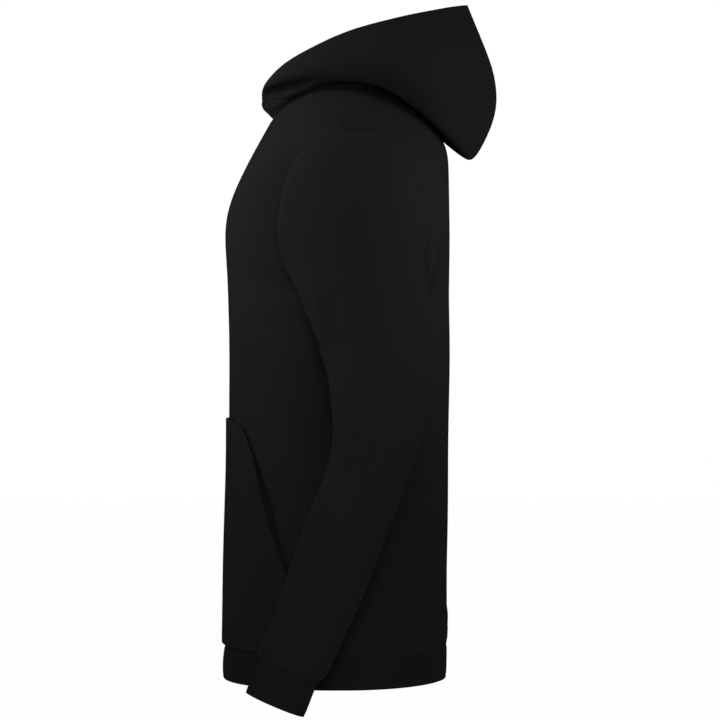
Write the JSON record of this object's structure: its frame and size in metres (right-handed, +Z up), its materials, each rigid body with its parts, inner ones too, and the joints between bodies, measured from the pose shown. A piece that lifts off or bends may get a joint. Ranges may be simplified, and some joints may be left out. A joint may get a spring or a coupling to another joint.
{
  "type": "zip-up hoodie, worn shape with nobody in it",
  "caption": "Black zip-up hooded sweatshirt, hollow as worn, hood down, forearms forward, front pockets, cuffs and hem band.",
  "frame": {"origin": "middle of the neck opening, level with the points where the shoulder seams meet the neck", "axes": "+Z up; the front, with the zip, faces -Y; +X towards the wearer's left"},
  "size_m": [0.6268, 0.326, 0.82],
  "materials": {
    "fleece": "matt brushed jersey",
    "band": "matt fine rib",
    "zip_tape": "woven",
    "zip_teeth": "satin",
    "zip_metal": "satin black enamel"
  },
  "bodies": {
    "garment": {"front_left": "fleece", "front_right": "fleece", "back": "fleece", "sleeve_left": "fleece", "sleeve_right": "fleece", "hood_left": "fleece", "hood_right": "fleece", "pocket_left": "fleece", "pocket_right": "fleece", "hem_band": "band", "cuff_left": "band", "cuff_right": "band", "zip_tape_left": "zip_tape", "zip_tape_right": "zip_tape", "zip_chain": "zip_teeth", "zip_slider": "zip_metal", "zip_top_stop_left": "zip_metal", "zip_top_stop_right": "zip_metal", "zip_box": "zip_metal"},
    "pull_tab": {"pull_tab": "zip_metal"}
  },
  "joints": [
    {"name": "pull_tab_flip", "type": "hinge", "parent": "garment", "child": "pull_tab", "pos_m": [0, -0.08437, -0.05205], "axis": [-1, 0, 0], "range_deg": [0, 150]}
  ]
}
